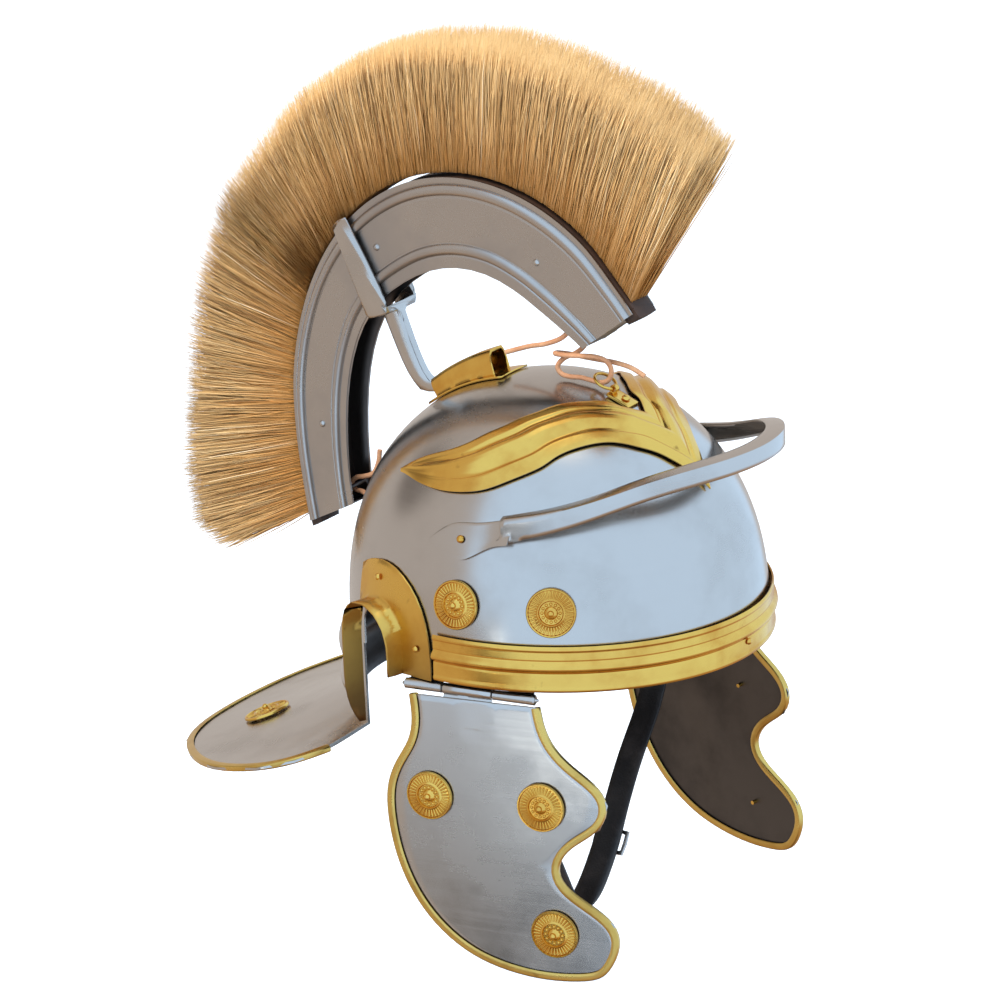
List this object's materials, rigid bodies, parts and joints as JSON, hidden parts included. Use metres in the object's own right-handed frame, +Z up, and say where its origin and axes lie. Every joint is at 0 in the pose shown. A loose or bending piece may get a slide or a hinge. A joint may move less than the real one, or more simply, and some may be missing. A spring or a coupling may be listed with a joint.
{
  "type": "roman legionary helmet",
  "caption": "Steel helmet bowl with sloping neck guard, brass ear guards and trim, hinged cheek guards, brow guard and a crest box with an arched horsehair plume.",
  "frame": {"origin": "inside of the bowl's crown, where the top of the wearer's head would bear", "axes": "+Z up, -Y towards the brow, -X towards the wearer's right"},
  "size_m": [0.2704, 0.3558, 0.4701],
  "materials": {
    "steel": "lightly brushed and polished, a little darkened",
    "brass": "polished, with soft wear",
    "leather": "black, smooth",
    "rawhide": "pale tan, matt",
    "wood": "dark brown, matt",
    "hair": "golden tan hair, matt"
  },
  "bodies": {
    "helmet": {"back_ring": "steel", "back_thong": "rawhide", "back_tie_plate": "steel", "bowl": "steel", "brow_band": "brass", "brow_band_rivet": "brass", "chin_strap": "leather", "crest_base": "wood", "crest_box": "steel", "crest_fork": "steel", "crest_rivet_front": "steel", "crest_rivet_middle": "steel", "crest_rivet_rear": "steel", "eyebrow_plate": "brass", "fork_holder": "brass", "front_ring": "brass", "front_thong": "rawhide", "front_tie_plate": "brass", "front_tie_rivet": "brass", "left_bowl_rosette_front": "brass", "left_bowl_rosette_rear": "brass", "left_ear_guard": "brass", "left_ear_rivet_front": "brass", "left_ear_rivet_rear": "brass", "left_guard_rosette": "brass", "left_hinge_leaf_front": "steel", "left_hinge_leaf_rear": "steel", "left_hinge_pin": "steel", "left_visor_rivet": "brass", "neck_guard_trim": "brass", "plume": "hair", "right_bowl_rosette_front": "brass", "right_bowl_rosette_rear": "brass", "right_ear_guard": "brass", "right_ear_rivet_front": "brass", "right_ear_rivet_rear": "brass", "right_guard_rosette": "brass", "right_hinge_leaf_front": "steel", "right_hinge_leaf_rear": "steel", "right_hinge_pin": "steel", "right_visor_rivet": "brass", "strap_buckle": "steel", "visor": "steel"},
    "right_cheek": {"right_cheek_guard": "steel", "right_cheek_trim": "brass", "right_cheek_rosette_rear": "brass", "right_cheek_rosette_front": "brass", "right_cheek_rosette_low": "brass"},
    "left_cheek": {"left_cheek_guard": "steel", "left_cheek_trim": "brass", "left_cheek_rosette_rear": "brass", "left_cheek_rosette_front": "brass", "left_cheek_rosette_low": "brass"}
  },
  "joints": [
    {"name": "right_cheek_hinge", "type": "hinge", "parent": "helmet", "child": "right_cheek", "pos_m": [-0.09775, -0.01065, -0.13645], "axis": [-0.1449, 0.9894, 0], "range_deg": [-6, 95]},
    {"name": "left_cheek_hinge", "type": "hinge", "parent": "helmet", "child": "left_cheek", "pos_m": [0.09775, -0.01065, -0.13645], "axis": [-0.1449, -0.9894, 0], "range_deg": [-6, 95]}
  ]
}
